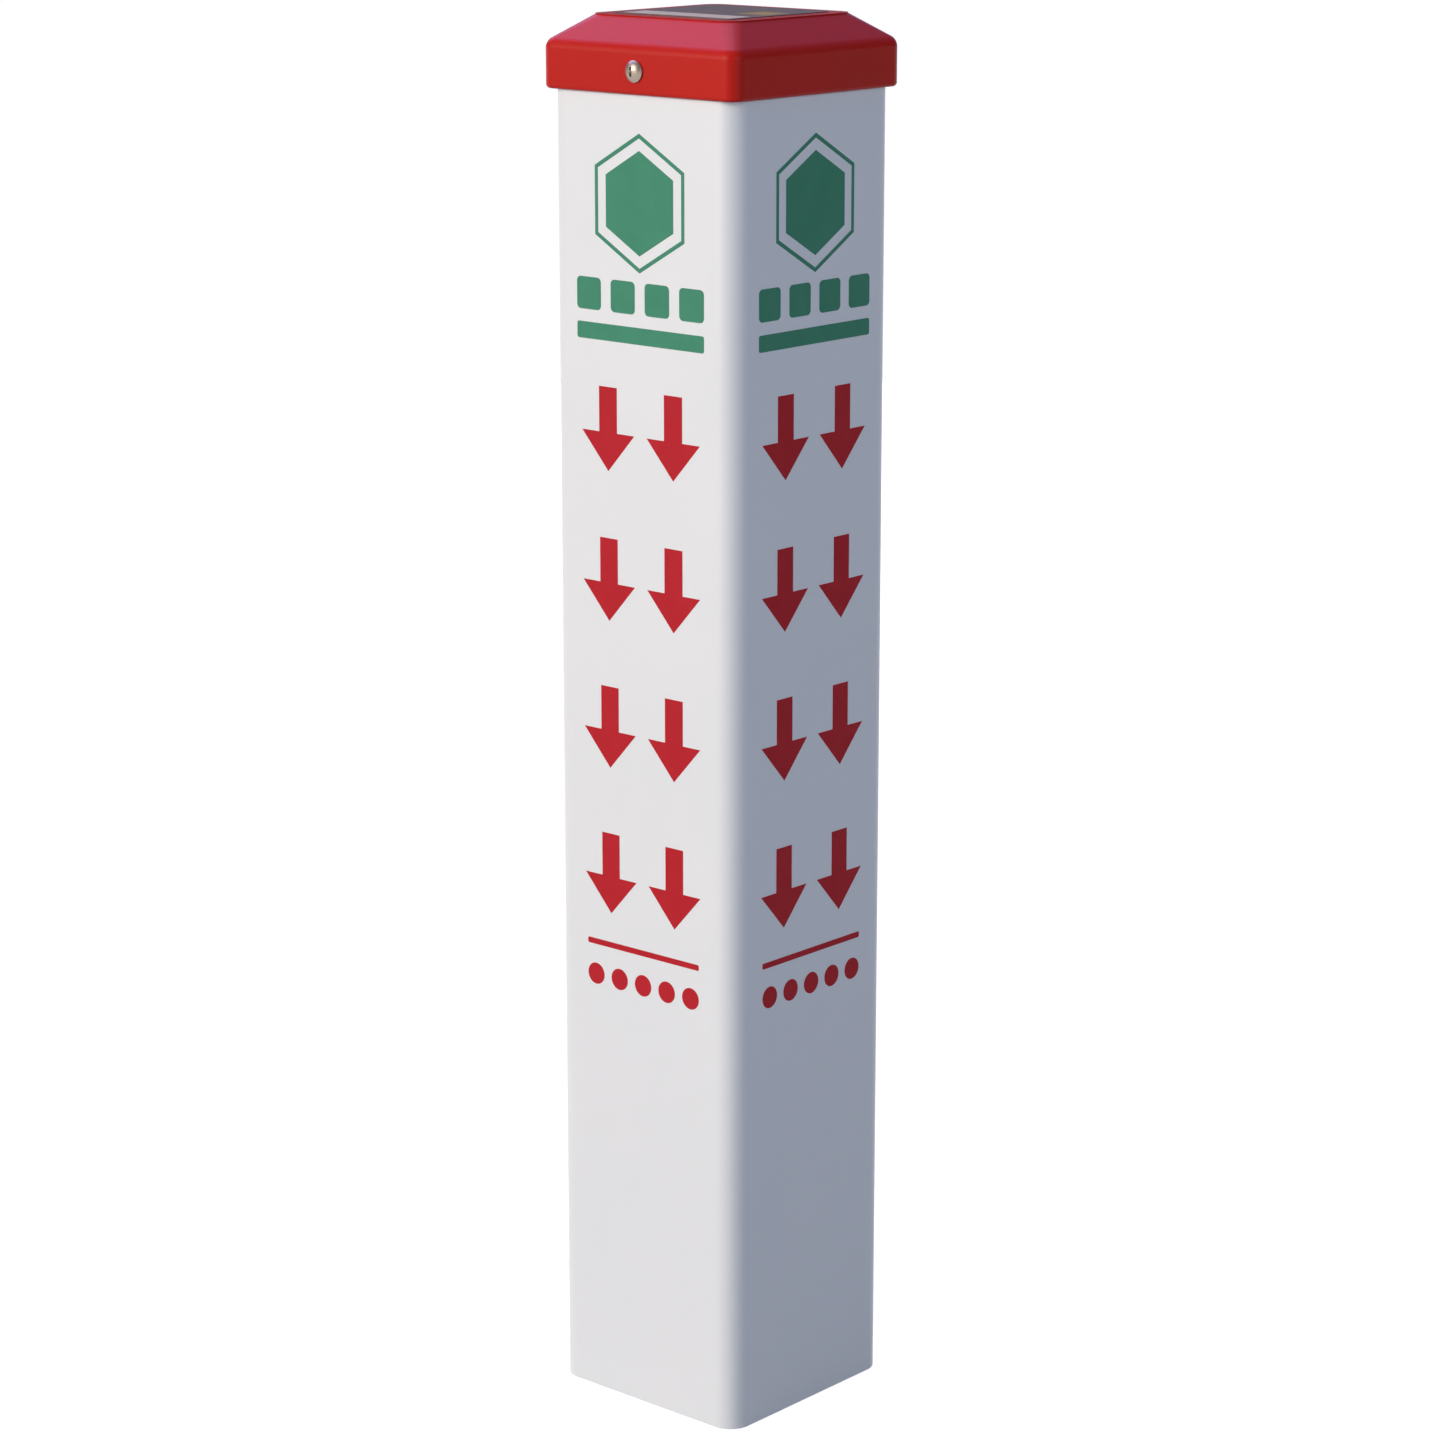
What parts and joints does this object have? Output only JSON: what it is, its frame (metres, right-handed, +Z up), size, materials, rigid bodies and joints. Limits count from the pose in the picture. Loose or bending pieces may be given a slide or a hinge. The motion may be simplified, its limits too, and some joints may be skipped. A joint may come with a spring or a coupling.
{
  "type": "utility marker post",
  "caption": "Square white plastic marker post with rounded edges, a sloped red moulded cap held by small side screws, and printed marks down its faces.",
  "frame": {"origin": "middle of the post's bottom end, on the surface it stands on", "axes": "+Z up along the post, -Y out of the front face that carries a cap screw, +X out of the right-hand face"},
  "size_m": [0.1068, 0.1122, 0.6003],
  "materials": {
    "post": "satin white extruded PVC",
    "cap": "semi-gloss red moulded ABS",
    "screw": "zinc-plated steel",
    "label": "printed vinyl film",
    "red_print": "screen-printed ink",
    "green_print": "screen-printed ink"
  },
  "bodies": {
    "root": {"post_body": "post", "top_cap": "cap", "cap_screw_front": "screw", "cap_screw_back": "screw", "cap_label": "label"}
  },
  "joints": []
}
